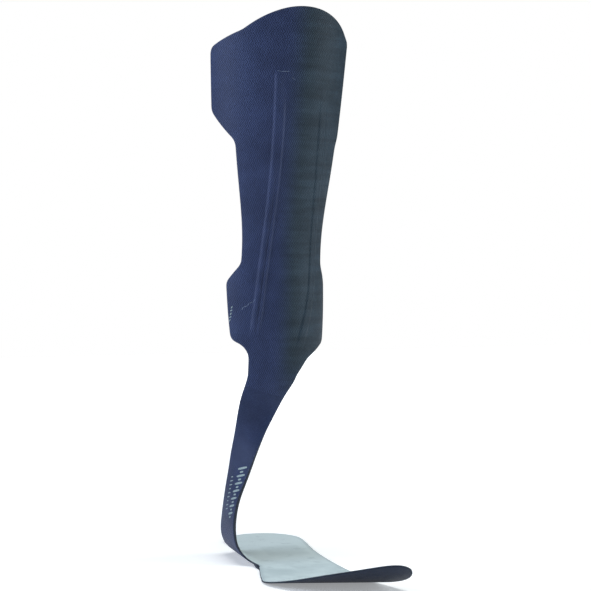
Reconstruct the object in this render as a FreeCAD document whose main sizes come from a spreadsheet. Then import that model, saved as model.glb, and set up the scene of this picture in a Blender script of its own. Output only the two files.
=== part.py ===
"""Right-leg carbon ankle-foot orthosis: a shin shell, a side strut and a full-length footplate.

Frame: millimetres, +Z up, toes towards -Y, the strut's (lateral) side towards -X.
The origin is on the sole, under the centre of the round heel.

The orthosis is one moulding of woven skins over spring laminate and rib cores. It bends at two
places, the strut's waist and the toe break, so each ply is split there.
"""
import FreeCAD, Part
import math
import os
from FreeCAD import Placement, Rotation, Vector

DRIVING_DIMENSIONS = [
    # alias, value in mm or degrees, what it is
    ("shell_top", 402.0, "height of the shell's front edge"),
    ("funnel_foot", 135.0, "height where the shell hands over to the strut"),
    ("wing_foot", 159.5, "height of the lower wings' bottom edge"),
    ("calf_radius", 57.7, "outer radius at the top edge"),
    ("shin_radius", 53.4, "outer radius at the upper wings' lower corner"),
    ("waist_radius", 44.9, "outer radius at the waist between the wings"),
    ("waist_height", 233.0, "height of that waist"),
    ("funnel_radius", 47.4, "outer radius at the shell's bottom end"),
    ("shell_sweep", 180.0, "angle that the shell's plies wrap before they are trimmed"),
    ("shell_turn", 11.0, "degrees that the shell's front turns inwards from the foot's axis"),
    ("shell_lean", 2.34, "degrees that the shell's axis leans inwards at the top"),
    ("shell_axis_side", 16.3, "offset of the shell's axis to the strut's side, at the floor"),
    ("shell_axis_front", 29.0, "distance of the shell's axis in front of the heel centre"),
    ("skin_thickness", 0.3, "one woven skin"),
    ("shell_core", 1.9, "the shell's and strut's spring laminate"),
    ("rib_height", 1.8, "height of a rib core on the spring laminate"),
    ("rib_half_angle", 5.0, "half the angle that a rib's foot covers"),
    ("heel_radius", 30.0, "radius of the round heel"),
    ("plate_core", 0.7, "the footplate's spring laminate"),
    ("cover_thickness", 0.3, "the pale top cover"),
    ("root_side", 24.0, "distance from the heel centre to the seam between strut and plate"),
    ("root_radius", 20.0, "outer radius of the strut's turn under the foot"),
    ("toe_break", 155.0, "distance from the heel centre to the toe break, across the break"),
    ("break_turn", 12.0, "degrees that the toe break is turned from square"),
    ("spring_radius", 125.0, "radius of the toe spring's underside"),
    ("spring_sweep", 38.0, "angle of the toe spring's arc before it is trimmed"),
    ("seam_gap", 0.4, "gap between rear plate and forefoot at the toe break"),
]

doc = FreeCAD.newDocument("ankle_foot_orthosis")
sheet = doc.addObject("Spreadsheet::Sheet", "dimensions")
for row, (alias, value, meaning) in enumerate(DRIVING_DIMENSIONS, start=1):
    sheet.set(f"A{row}", meaning)
    sheet.set(f"B{row}", str(value))
    sheet.setAlias(f"B{row}", alias)
doc.recompute()


def size(alias):
    """A driving dimension's value from the sheet."""
    return float(getattr(sheet, alias))


SKIN = size("skin_thickness")
CORE = size("shell_core")
WALL = CORE + 2 * SKIN
parts = []


def keep(sub_part, label):
    """Name a finished sub-part and list it for export."""
    sub_part.Label = label
    parts.append(sub_part)
    return sub_part


def feature(name, shape):
    """A document object for a shape that only Part's own functions can make."""
    holder = doc.addObject("Part::Feature", name)
    holder.Shape = shape
    return holder


# --- The shell's own frame: Z up its axis, -Y to its front -------------------------------------

SHELL_PLACE = Placement(
    Vector(-size("shell_axis_side"), -size("shell_axis_front"), 0),
    Rotation(Vector(0, 1, 0), size("shell_lean")) * Rotation(Vector(0, 0, 1), size("shell_turn")),
)


SHIN_ABOVE_WAIST = 100.0    # where the upper wings' lower corner is, above the waist
ABOVE_TOP = 18.0            # how far the plies run on above the top edge before they are trimmed


def shell_stations():
    """(height, outer radius) along the shell: it hardly widens below its waist and flares above."""
    waist = size("waist_height")
    return [
        (size("funnel_foot"), size("funnel_radius")),
        (waist - SHIN_ABOVE_WAIST / 2, size("waist_radius") + 1.8),
        (waist, size("waist_radius")),
        (waist + SHIN_ABOVE_WAIST / 2, size("waist_radius") + 4.2),
        (waist + SHIN_ABOVE_WAIST, size("shin_radius")),
        (size("shell_top") + ABOVE_TOP, size("calf_radius") + 0.9),
    ]


def shell_curve(depth):
    """The shell's profile, depth inside its outer surface, in the plane X = 0."""
    curve = Part.BSplineCurve()
    curve.interpolate([Vector(0, depth - radius, height) for height, radius in shell_stations()])
    return curve


def shell_radius(height, depth=0.0):
    """The radius of the shell's surface at a height, depth inside its outer surface."""
    curve = shell_curve(depth)
    low, high = curve.FirstParameter, curve.LastParameter
    for _ in range(50):
        middle = (low + high) / 2
        if curve.value(middle).z < height:
            low = middle
        else:
            high = middle
    return -curve.value(low).y


def on_shell(angle, height, depth=0.0):
    """A point of the shell's surface in the shell's frame. Angle 0 is the front, + is inwards."""
    radius = shell_radius(height, depth)
    turn = math.radians(angle)
    return Vector(radius * math.sin(turn), -radius * math.cos(turn), height)


def band_profile(outer_depth, inner_depth):
    """The face between two depths of the shell's wall."""
    outer = shell_curve(outer_depth)
    inner = shell_curve(inner_depth)
    bottom = Part.LineSegment(outer.StartPoint, inner.StartPoint)
    top = Part.LineSegment(inner.EndPoint, outer.EndPoint)
    edges = [bottom.toShape(), inner.toShape(), top.toShape(), outer.toShape()]
    return Part.Face(Part.Wire(Part.__sortEdges__(edges)))


def revolved(name, face):
    """A half ring of the shell from a profile face."""
    profile = feature(name + "_profile", face)
    ring = doc.addObject("Part::Revolution", name + "_ring")
    ring.Source = profile
    ring.Axis = Vector(0, 0, 1)
    ring.Base = Vector(0, 0, 0)
    ring.Symmetric = True
    ring.Solid = True
    ring.setExpression("Angle", "dimensions.shell_sweep")
    return ring


# --- Outlines ---------------------------------------------------------------------------------

def rounded_edges(corners):
    """Lines and arcs round a closed outline of (across, up, corner radius)."""
    count = len(corners)
    starts, ends, arcs = [], [], []
    for index in range(count):
        before = Vector(*corners[index - 1][:2], 0)
        corner = Vector(*corners[index][:2], 0)
        after = Vector(*corners[(index + 1) % count][:2], 0)
        radius = corners[index][2]
        into = (before - corner).normalize()
        out = (after - corner).normalize()
        half = into.getAngle(out) / 2
        reach = radius / math.tan(half)
        start = corner + into * reach
        end = corner + out * reach
        starts.append(start)
        ends.append(end)
        if radius > 0:
            bisector = (into + out).normalize()
            middle = corner + bisector * (radius / math.sin(half) - radius)
            arcs.append(Part.Arc(start, middle, end))
        else:
            arcs.append(None)
    edges = []
    for index in range(count):
        if arcs[index]:
            edges.append(arcs[index])
        edges.append(Part.LineSegment(ends[index], starts[(index + 1) % count]))
    return edges


def outline_prism(name, corners, rotation, reach):
    """A prism through the shell from a sketched outline, reach mm to both sides."""
    sketch = doc.addObject("Sketcher::SketchObject", name + "_sketch")
    sketch.Placement = Placement(Vector(0, 0, 0), rotation)
    sketch.addGeometry(rounded_edges(corners), False)
    prism = doc.addObject("Part::Extrusion", name)
    prism.Base = sketch
    prism.DirMode = "Normal"
    prism.Solid = True
    prism.setExpression("LengthFwd", reach)
    prism.setExpression("LengthRev", reach)
    return prism


TRIM_CLEARANCE = 12.0     # how far the trimming outlines pass the shell's surfaces
UPPER_WING_TIP = 11.5     # where the upper wings end, in front of the shell's axis
LOWER_WING_TIP = 22.4     # where the lower wings end
WAIST_EDGE = 31.0         # where the edge runs between the wings
WING_FOOT_EDGE = 29.0     # the lower wings' bottom corner
ARCH_BEND = 38.5          # where the top edge bends from the arch into the wings
ARCH_DROP = 17.6          # how far that bend lies below the top of the arch
ARCH_SLOPE = 0.92         # rise per millimetre forward, from the bend to the arch's top


def side_trim():
    """The shell's trim line from the side: top arch, upper wing, waist and lower wing.

    Each corner is (distance in front of the shell's axis, height, corner radius).
    """
    far = size("calf_radius") + TRIM_CLEARANCE
    low = size("funnel_foot") - TRIM_CLEARANCE
    top = size("shell_top")
    waist = size("waist_height")
    return [
        (far, top - ARCH_DROP + ARCH_SLOPE * (far - ARCH_BEND), 0),
        (ARCH_BEND, top - ARCH_DROP, 30),
        (UPPER_WING_TIP + 0.3, top - 30.9, 7),
        (UPPER_WING_TIP - 0.2, waist + 92.5, 7),
        (WAIST_EDGE, waist + 71.5, 10),
        (WAIST_EDGE + 0.3, waist - 17.8, 10),
        (LOWER_WING_TIP, waist - 31.5, 6),
        (WING_FOOT_EDGE, size("wing_foot"), 3),
        (WING_FOOT_EDGE, low, 0),
        (far, low, 0),
    ]


STRUT_TOP_REAR = -27.0    # the strut's rear edge where it leaves the shell, across the shell
STRUT_TOP_FRONT = 8.9     # the strut's front edge there


def front_trim():
    """The shell's trim line from the front: the funnel that narrows into the strut.

    Each corner is (distance inwards from the shell's axis, height, corner radius).
    """
    far = size("calf_radius") + TRIM_CLEARANCE
    foot = size("funnel_foot")
    wing = size("wing_foot")
    top = size("shell_top") + TRIM_CLEARANCE + ABOVE_TOP
    return [
        (-far, top, 0),
        (-far, wing, 0),
        (STRUT_TOP_REAR, wing, 13),
        (STRUT_TOP_REAR, foot, 0),
        (STRUT_TOP_FRONT, foot, 0),
        (STRUT_TOP_FRONT + 9.6, foot + 12.5, 15),
        (38.0, wing, 0),
        (far, wing, 0),
        (far, top, 0),
    ]


# Both sketches stand up: the first looks along X with its across axis to the shell's front,
# the second looks along Y with its across axis inwards.
SIDE_VIEW = Rotation(Vector(0, -1, 0), Vector(0, 0, 1), Vector(-1, 0, 0), "XYZ")
FRONT_VIEW = Rotation(Vector(1, 0, 0), Vector(0, 0, 1), Vector(0, -1, 0), "XYZ")
side_prism = outline_prism("side_trim", side_trim(), SIDE_VIEW, "dimensions.calf_radius + 10")
front_prism = outline_prism("front_trim", front_trim(), FRONT_VIEW, "dimensions.calf_radius + 10")


def trimmed(name, ring):
    """A half ring cut to the shell's trim lines."""
    cut = doc.addObject("Part::MultiCommon", name)
    cut.Shapes = [ring, side_prism, front_prism]
    return cut


# --- Rib cores --------------------------------------------------------------------------------

# (height, angle from the front) of each rib's middle, from its top end down
LATERAL_RIB = [
    (358, -17.0), (314, -16.8), (288, -17.5), (249, -20.5),
    (230, -22.6), (203, -25.8), (178, -28.4), (164, -30.2),
]
MEDIAL_RIB = [
    (358, 23.0), (329, 23.6), (289, 25.4), (250, 28.0),
    (225, 28.2), (188, 24.2), (166, 16.6), (154, 12.8),
]


RIB_END_FULLNESS = 0.25    # a rib's height at its ends, as a share of its full height
RIB_END_WIDTH = 0.55       # a rib's narrowest foot, as a share of its full width
RIB_TOP_SHARE = 0.62       # the flat top's width, as a share of the foot's
RIB_FOOT_SINK = 0.3        # how far a rib's bar reaches into the laminate before it is cut off
RIB_CROWN = 0.15           # rise of the top's middle over its edges


def rib_section(height, angle, fullness):
    """A rib's flat-topped cross-section. fullness is its share of the full height."""
    half = size("rib_half_angle") * (RIB_END_WIDTH + (1 - RIB_END_WIDTH) * fullness)
    top_half = RIB_TOP_SHARE * half
    foot = SKIN + RIB_FOOT_SINK
    crest = SKIN - size("rib_height") * fullness
    corners = [
        on_shell(angle - half, height, foot),
        on_shell(angle - top_half, height, crest),
        on_shell(angle, height, crest - RIB_CROWN * fullness),
        on_shell(angle + top_half, height, crest),
        on_shell(angle + half, height, foot),
    ]
    return Part.makePolygon(corners + corners[:1])


def rib_core(label, stations):
    """A rib core: it rises at both ends and sits on the spring laminate."""
    last = len(stations) - 1
    sections = []
    for index, (height, angle) in enumerate(stations):
        fullness = RIB_END_FULLNESS if index in (0, last) else 1.0
        sections.append(rib_section(height, angle, fullness))
    bar = feature(label + "_bar", Part.makeLoft(sections, True, False))
    core = doc.addObject("Part::Cut", label)
    core.Base = bar
    core.Tool = shin_form
    return core


def shin_form_face():
    """The face from the shell's axis out to the spring laminate's outer surface."""
    outer = shell_curve(SKIN)
    low = Vector(0, 0, outer.StartPoint.z)
    high = Vector(0, 0, outer.EndPoint.z)
    edges = [
        outer.toShape(),
        Part.LineSegment(outer.EndPoint, high).toShape(),
        Part.LineSegment(high, low).toShape(),
        Part.LineSegment(low, outer.StartPoint).toShape(),
    ]
    return Part.Face(Part.Wire(edges))


shin_form = revolved("shin_form", shin_form_face())

inner_ring = revolved("inner", band_profile(WALL - SKIN, WALL))
core_ring = revolved("core", band_profile(SKIN, WALL - SKIN))
outer_ring = revolved("outer", band_profile(0, SKIN))
shell_parts = [
    keep(trimmed("shell_inner_skin", inner_ring), "shell_inner_skin"),
    keep(trimmed("shell_laminate", core_ring), "shell_laminate"),
    keep(rib_core("lateral_rib_core", LATERAL_RIB), "lateral_rib_core"),
    keep(rib_core("medial_rib_core", MEDIAL_RIB), "medial_rib_core"),
]
# The outer skin lies round the rib cores, so the ribs' bars are cut out of it.
whole_outer_skin = trimmed("whole_outer_skin", outer_ring)
rib_bars = doc.addObject("Part::MultiFuse", "rib_bars")
rib_bars.Shapes = [doc.getObject("lateral_rib_core_bar"), doc.getObject("medial_rib_core_bar")]
outer_skin = doc.addObject("Part::Cut", "shell_outer_skin")
outer_skin.Base = whole_outer_skin
outer_skin.Tool = rib_bars
shell_parts.append(keep(outer_skin, "shell_outer_skin"))
doc.recompute()
for sub_part in shell_parts:
    sub_part.Placement = SHELL_PLACE


# --- The strut: sections from the shell down, and round under the foot --------------------------

# The outer face's edges: height, rear edge (side, front), front edge (side, front), crown.
# "side" is the X coordinate, "front" the distance in front of the heel's back end and the crown
# how far the face bulges outwards between its edges.
STRUT_STATIONS = [
    (122, (-33.9, 101.5), (0.2, 101.2), 3.6),
    (106, (-36.4, 96.8), (-10.2, 104.0), 2.4),
    (90, (-37.8, 91.5), (-19.3, 105.8), 1.8),
    (77, (-39.3, 87.5), (-25.8, 107.0), 1.5),
    (64, (-40.3, 83.5), (-31.6, 108.0), 1.2),
    (54, (-41.4, 81.0), (-36.2, 109.0), 1.0),
    (45, (-42.3, 79.0), (-39.9, 110.2), 0.9),
    (36, (-43.1, 77.2), (-42.4, 111.8), 0.7),
    (28, (-43.7, 75.8), (-43.8, 114.0), 0.4),
]
# The turn under the foot: angle round the turn, rear edge, front edge
ROOT_STATIONS = [
    (0, 75.0, 116.8), (18, 74.6, 119.4), (36, 73.6, 122.8),
    (54, 71.2, 127.0), (72, 67.0, 130.8), (90, 62.0, 132.5),
]
FLEX_TOP = 90     # the waist that bends lies between these two heights
FLEX_FOOT = 64


def plan_point(side, front, height):
    """A point from its side offset, its distance in front of the heel's back end and its height."""
    return Vector(side, size("heel_radius") - front, height)


ACROSS = (0.0, 0.25, 0.5, 0.75, 1.0)    # rear edge to front edge


def top_row(depth):
    """The strut's line where it meets the shell's bottom end, depth inside the outer face."""
    foot = size("funnel_foot")
    radius = shell_radius(foot, depth)
    row = []
    for share in ACROSS:
        across = STRUT_TOP_REAR + share * (STRUT_TOP_FRONT - STRUT_TOP_REAR)
        row.append(SHELL_PLACE.multVec(Vector(across, -math.sqrt(radius ** 2 - across ** 2), foot)))
    return row


def level_row(station, depth):
    """A level line across the strut, crowned outwards, depth inside the outer face."""
    height, rear, front, crown = station
    rear_edge = plan_point(rear[0], rear[1], height)
    front_edge = plan_point(front[0], front[1], height)
    along = (front_edge - rear_edge).normalize()
    outward = Vector(along.y, -along.x, 0)
    row = []
    for share in ACROSS:
        bulge = 4 * crown * share * (1 - share)
        row.append(rear_edge + (front_edge - rear_edge) * share + outward * (bulge - depth))
    return row


def root_row(station, depth):
    """A line across the strut's turn under the foot, depth inside the outer face."""
    angle, rear, front = station
    turn = math.radians(angle)
    radius = size("root_radius") - depth
    side = -size("root_side") - radius * math.cos(turn)
    height = size("root_radius") - radius * math.sin(turn)
    return [plan_point(side, rear + share * (front - rear), height) for share in ACROSS]


def strut_surface(zone, depth):
    """The strut's surface in one zone, depth inside the outer face."""
    if zone == "upper":
        rows = [top_row(depth)]
        stations = [station for station in STRUT_STATIONS if station[0] >= FLEX_TOP]
    elif zone == "flexure":
        rows = []
        stations = [station for station in STRUT_STATIONS if FLEX_FOOT <= station[0] <= FLEX_TOP]
    else:
        rows = []
        stations = [station for station in STRUT_STATIONS if station[0] <= FLEX_FOOT]
    rows += [level_row(station, depth) for station in stations]
    if zone == "lower":
        rows += [root_row(station, depth) for station in ROOT_STATIONS]
    surface = Part.BSplineSurface()
    surface.interpolate(rows)
    return surface


def ply_solid(outer, inner):
    """A closed ply between two surfaces of the same shape, with ruled edges."""
    faces = [outer.toShape(), inner.toShape()]
    bounds = outer.bounds()
    for limit in bounds[:2]:
        faces.append(Part.makeRuledSurface(outer.uIso(limit).toShape(), inner.uIso(limit).toShape()))
    for limit in bounds[2:]:
        faces.append(Part.makeRuledSurface(outer.vIso(limit).toShape(), inner.vIso(limit).toShape()))
    shell = Part.makeShell(faces)
    shell.sewShape()
    solid = Part.makeSolid(shell)
    if solid.Volume < 0:
        solid.reverse()
    return solid


def strut_ply(label, zone, outer_depth, inner_depth):
    """One ply of the strut in one zone: upper, flexure or lower."""
    solid = ply_solid(strut_surface(zone, outer_depth), strut_surface(zone, inner_depth))
    return keep(feature(label, solid), label)


for zone, stem in (("upper", "upper_strut"), ("flexure", "strut_flexure"), ("lower", "lower_strut")):
    strut_ply(stem + "_outer_skin", zone, 0, SKIN)
    strut_ply(stem + "_laminate", zone, SKIN, WALL - SKIN)
    strut_ply(stem + "_inner_skin", zone, WALL - SKIN, WALL)


# --- The footplate ----------------------------------------------------------------------------

BREAK = math.radians(size("break_turn"))
INNER_BREAK_SIDE = 33.0     # side offsets of the two ends of the toe break
OUTER_BREAK_SIDE = -39.3


def across_break(side, front):
    """How far a plan point (side, front of the heel's back end) lies in front of the heel centre,
    measured square to the toe break."""
    ahead = front - size("heel_radius")
    return ahead * math.cos(BREAK) - side * math.sin(BREAK)


def on_break(side, offset):
    """The plan point with a given side offset on the toe break line, moved forward by offset."""
    ahead = (size("toe_break") + offset + side * math.sin(BREAK)) / math.cos(BREAK)
    return side, ahead + size("heel_radius")


def plane_of(body, role):
    """One of a body's own origin planes."""
    return next(item for item in body.Origin.OriginFeatures if item.Role == role)


def sketch_in(body, name, role):
    """A new sketch on a body's own origin plane."""
    sketch = body.newObject("Sketcher::SketchObject", name)
    sketch.AttachmentSupport = [(plane_of(body, role), "")]
    sketch.MapMode = "FlatFace"
    return sketch


def smooth(points):
    """A spline through points of a sketch."""
    curve = Part.BSplineCurve()
    curve.interpolate(points)
    return curve


def rear_outline():
    """The rear plate's outline: round heel, instep, toe break, and the seat of the strut's root."""
    heel = size("heel_radius")
    seat = -size("root_side")
    gap = size("seam_gap") / 2
    outer_end = on_break(OUTER_BREAK_SIDE, -gap)
    inner_end = on_break(INNER_BREAK_SIDE, -gap)
    arc = Part.Arc(Vector(-heel, 0, 0), Vector(0, heel, 0), Vector(heel, 0, 0))

    def point(side, front):
        return Vector(side, heel - front, 0)

    inner_edge = [
        point(heel, heel), point(28, 58), point(26, 84), point(25.8, 120),
        point(27.5, 158), point(30.0, 179), point(*inner_end),
    ]
    outer_edge = [
        point(*outer_end), point(-37, 168), point(-34.2, 155), point(-32, 143),
        point(-29.6, 136), point(seat, 133),
    ]
    heel_edge = [point(seat, 61), point(-28, 52), point(-29.8, 40), point(-heel, heel)]
    return [
        arc,
        smooth(inner_edge),
        Part.LineSegment(inner_edge[-1], outer_edge[0]),
        smooth(outer_edge),
        Part.LineSegment(outer_edge[-1], heel_edge[0]),
        smooth(heel_edge),
    ]


def rear_ply(label, thickness, below):
    """A flat ply of the rear plate. thickness and below are names of the sheet's thicknesses:
    the ply's own, and those of the plies under it."""
    body = doc.addObject("PartDesign::Body", label)
    sketch = sketch_in(body, label + "_outline", "XY_Plane")
    sketch.addGeometry(rear_outline(), False)
    pad = body.newObject("PartDesign::Pad", label + "_pad")
    pad.Profile = sketch
    pad.setExpression("Length", "dimensions." + thickness)
    if below:
        lift = " + ".join("dimensions." + name for name in below)
        body.setExpression("Placement.Base.z", lift)
    return keep(body, label)


def forefoot_outline():
    """The forefoot's outline in the toe break's frame, from the inner seam end round the toes."""
    heel = size("heel_radius")
    gap = size("seam_gap") / 2

    def turned(side, front):
        ahead = front - heel
        along = side * math.cos(BREAK) + ahead * math.sin(BREAK)
        return Vector(along, -across_break(side, front), 0)

    inner_end = turned(*on_break(INNER_BREAK_SIDE, gap))
    outer_end = turned(*on_break(OUTER_BREAK_SIDE, gap))
    toes = [
        (36.4, 210), (41.5, 226), (45.8, 240), (46.6, 252), (43.4, 263), (37.6, 267.3),
        (31.4, 267.5), (23.2, 264.5), (7.2, 254.8), (-11, 241.8), (-23, 229.5), (-31, 218.5),
        (-37.5, 207.5), (-40.6, 197), (-40.6, 187),
    ]
    rim = [inner_end] + [turned(side, front) for side, front in toes] + [outer_end]
    return [smooth(rim), Part.LineSegment(outer_end, inner_end)]


def arc_band(near_radius, far_radius):
    """The toe spring's profile between two radii about its centre, in the plane X = 0."""
    start = -size("toe_break")
    sweep = math.radians(size("spring_sweep"))
    centre_height = size("spring_radius")

    def at(radius, angle):
        return Vector(start - radius * math.sin(angle), centre_height - radius * math.cos(angle), 0)

    return [
        Part.Arc(at(far_radius, 0), at(far_radius, sweep / 2), at(far_radius, sweep)),
        Part.LineSegment(at(far_radius, sweep), at(near_radius, sweep)),
        Part.Arc(at(near_radius, sweep), at(near_radius, sweep / 2), at(near_radius, 0)),
        Part.LineSegment(at(near_radius, 0), at(far_radius, 0)),
    ]


def forefoot_ply(label, thickness, below):
    """A curved ply of the forefoot: an arc band across the toe break, cut to the toes' outline."""
    body = doc.addObject("PartDesign::Body", label)
    profile = sketch_in(body, label + "_profile", "YZ_Plane")
    far_radius = size("spring_radius") - sum(size(name) for name in below)
    near_radius = far_radius - size(thickness)
    profile.addGeometry(arc_band(near_radius, far_radius), False)
    band = body.newObject("PartDesign::Pad", label + "_band")
    band.Profile = profile
    band.Midplane = True
    band.setExpression("Length", "dimensions.heel_radius * 8")
    outline = sketch_in(body, label + "_outline", "XY_Plane")
    reach = 4 * size("heel_radius") + 5
    frame = [
        Vector(-reach, 0, 0),
        Vector(reach, 0, 0),
        Vector(reach, -3 * reach, 0),
        Vector(-reach, -3 * reach, 0),
    ]
    sides = [Part.LineSegment(frame[index - 1], frame[index]) for index in range(4)]
    outline.addGeometry(sides + forefoot_outline(), False)
    pocket = body.newObject("PartDesign::Pocket", label + "_trim")
    pocket.Profile = outline
    pocket.Type = "ThroughAll"
    pocket.Midplane = True
    body.Placement = Placement(Vector(0, 0, 0), Rotation(Vector(0, 0, 1), -size("break_turn")))
    return keep(body, label)


# Each ply's name, its thickness and the thicknesses of the plies under it
PLATE_PLIES = [
    ("sole_skin", "skin_thickness", []),
    ("plate_laminate", "plate_core", ["skin_thickness"]),
    ("top_cover", "cover_thickness", ["skin_thickness", "plate_core"]),
]
for stem, thickness, below in PLATE_PLIES:
    rear_ply("rear_" + stem, thickness, below)
    forefoot_ply("forefoot_" + stem, thickness, below)


# --- Check and export -------------------------------------------------------------------------

doc.recompute()
for item in doc.Objects:
    assert "Invalid" not in item.State and "Error" not in item.State, item.Label
os.makedirs("parts", exist_ok=True)
for sub_part in parts:
    shape = sub_part.Shape
    assert not shape.isNull() and shape.isValid(), sub_part.Label
    shape.exportStep(f"parts/{sub_part.Label}.step")
    box = shape.BoundBox
    print(f"{sub_part.Label:28s} volume {shape.Volume:9.1f}  solids {len(shape.Solids)}")
    print(f"  x {box.XMin:6.1f}..{box.XMax:6.1f}  y {box.YMin:6.1f}..{box.YMax:6.1f}")
    print(f"  z {box.ZMin:6.1f}..{box.ZMax:6.1f}")
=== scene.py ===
import math

import bmesh
import bpy
import numpy as np
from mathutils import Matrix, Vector
from mathutils.geometry import delaunay_2d_cdt


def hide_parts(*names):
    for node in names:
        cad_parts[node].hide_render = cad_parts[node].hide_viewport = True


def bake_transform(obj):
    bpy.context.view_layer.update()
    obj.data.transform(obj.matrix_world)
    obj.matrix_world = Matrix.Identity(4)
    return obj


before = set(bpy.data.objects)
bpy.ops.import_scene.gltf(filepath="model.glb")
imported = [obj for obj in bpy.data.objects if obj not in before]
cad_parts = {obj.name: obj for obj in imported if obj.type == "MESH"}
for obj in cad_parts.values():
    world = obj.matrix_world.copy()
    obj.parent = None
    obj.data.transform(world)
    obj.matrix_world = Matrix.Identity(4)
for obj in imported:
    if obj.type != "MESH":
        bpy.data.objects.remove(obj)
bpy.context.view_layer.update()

# Everything that is shown follows one sheet, laid out flat in millimetres:
#   run     up the orthosis: the height on the strut and shell, the unrolled length below them
#   across  the distance round the shell or along the foot (from the heel's back end)
# sheet_point() lifts a point of that flat sheet into the row frame.

MM = 0.001

# --- Driving dimensions, in millimetres and degrees, as in the CAD --------------------------------

SHELL_TOP = 402.0
FUNNEL_FOOT = 135.0
WING_FOOT = 159.5
WAIST = 233.0
SHELL_TURN = math.radians(11.0)
SHELL_LEAN = math.radians(2.34)
SHELL_AXIS = (-16.3, -29.0)
HEEL = 30.0
ROOT_RADIUS = 20.0
ROOT_SIDE = 24.0
TOE_BREAK = 155.0
BREAK_TURN = math.radians(12.0)
SPRING_RADIUS = 125.0
SKIN = 0.3
WALL = 2.5
PLATE_CORE = 0.7
COVER = 0.3
FUNNEL_RADIUS = 47.4
STRUT_TOP_REAR = -27.0
STRUT_TOP_FRONT = 8.9

ROOT_LENGTH = ROOT_RADIUS * math.pi / 2
PLATE_RUN = ROOT_RADIUS - ROOT_LENGTH     # run where the strut's turn meets the flat plate
SEAM_RUN = PLATE_RUN + 7.5                # run where the strut's skins end under the plate's


def spline(knots, values):
    """A natural cubic spline through values (one row per knot), as a function of an array."""
    knots = np.array(knots, float)
    values = np.array(values, float).reshape(len(knots), -1)
    gaps = np.diff(knots)
    count = len(knots)
    system = np.eye(count)
    right = np.zeros_like(values)
    for i in range(1, count - 1):
        system[i, i - 1:i + 2] = gaps[i - 1], 2 * (gaps[i - 1] + gaps[i]), gaps[i]
        rise = (values[i + 1] - values[i]) / gaps[i] - (values[i] - values[i - 1]) / gaps[i - 1]
        right[i] = 6 * rise
    bend = np.linalg.solve(system, right)

    def at(where):
        where = np.atleast_1d(np.asarray(where, float))
        i = np.clip(np.searchsorted(knots, where) - 1, 0, count - 2)
        gap = gaps[i][:, None]
        a = (knots[i + 1] - where)[:, None] / gap
        b = 1 - a
        curve = (a ** 3 - a) * bend[i] + (b ** 3 - b) * bend[i + 1]
        return a * values[i] + b * values[i + 1] + curve * gap ** 2 / 6

    return at


shell_radius_at = spline(
    [FUNNEL_FOOT, WAIST - 52, WAIST, WAIST + 50, WAIST + 100, SHELL_TOP + 18],
    [FUNNEL_RADIUS, 46.7, 44.9, 49.1, 53.4, 58.6],
)


def shell_radius(run):
    """The shell's outer radius at a height up its own axis."""
    return shell_radius_at(run)[:, 0]


def shell_place(local):
    """Points of the shell's own frame in the row frame: turned, leaned, then moved."""
    x, y, z = local.T
    turned_x = x * math.cos(SHELL_TURN) - y * math.sin(SHELL_TURN)
    turned_y = x * math.sin(SHELL_TURN) + y * math.cos(SHELL_TURN)
    leaned_x = turned_x * math.cos(SHELL_LEAN) + z * math.sin(SHELL_LEAN)
    leaned_z = z * math.cos(SHELL_LEAN) - turned_x * math.sin(SHELL_LEAN)
    return np.stack([leaned_x + SHELL_AXIS[0], turned_y + SHELL_AXIS[1], leaned_z], axis=1)


def shell_point(angle, run):
    """The shell's outer surface at an angle from its front (radians) and a height up its axis."""
    radius = shell_radius(run)
    return shell_place(np.stack([radius * np.sin(angle), -radius * np.cos(angle), run], axis=1))


# --- The strut: rows across it from under the foot up to the shell ---------------------------------

# Turn under the foot: degrees round it, rear edge, front edge
ROOT_ROWS = [(72, 67.0, 130.8), (54, 71.2, 127.0), (36, 73.6, 122.8), (18, 74.6, 119.4), (0, 75.0, 116.8)]
# Height, rear edge (side, front), front edge (side, front), outward crown
STRUT_ROWS = [
    (28, (-43.7, 75.8), (-43.8, 114.0), 0.4),
    (36, (-43.1, 77.2), (-42.4, 111.8), 0.7),
    (45, (-42.3, 79.0), (-39.9, 110.2), 0.9),
    (54, (-41.4, 81.0), (-36.2, 109.0), 1.0),
    (64, (-40.3, 83.5), (-31.6, 108.0), 1.2),
    (77, (-39.3, 87.5), (-25.8, 107.0), 1.5),
    (90, (-37.8, 91.5), (-19.3, 105.8), 1.8),
    (106, (-36.4, 96.8), (-10.2, 104.0), 2.4),
    (122, (-33.9, 101.5), (0.2, 101.2), 3.6),
]
SHARES = np.linspace(0, 1, 5)


def plate_row(run, rear, front):
    """A row on the flat plate, beside the strut's turn."""
    side = -ROOT_SIDE + (PLATE_RUN - run)
    return [(side, HEEL - rear - share * (front - rear), 0.0) for share in SHARES]


def root_row(degrees, rear, front):
    """A row on the turn under the foot."""
    turn = math.radians(degrees)
    side = -ROOT_SIDE - ROOT_RADIUS * math.cos(turn)
    height = ROOT_RADIUS * (1 - math.sin(turn))
    return [(side, HEEL - rear - share * (front - rear), height) for share in SHARES]


def level_row(height, rear, front, crown):
    """A level row across the strut, crowned outwards."""
    rear_edge = np.array([rear[0], HEEL - rear[1], height])
    front_edge = np.array([front[0], HEEL - front[1], height])
    along = (front_edge - rear_edge) / np.linalg.norm(front_edge - rear_edge)
    outward = np.array([along[1], -along[0], 0])
    return [rear_edge + (front_edge - rear_edge) * s + outward * 4 * crown * s * (1 - s) for s in SHARES]


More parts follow.
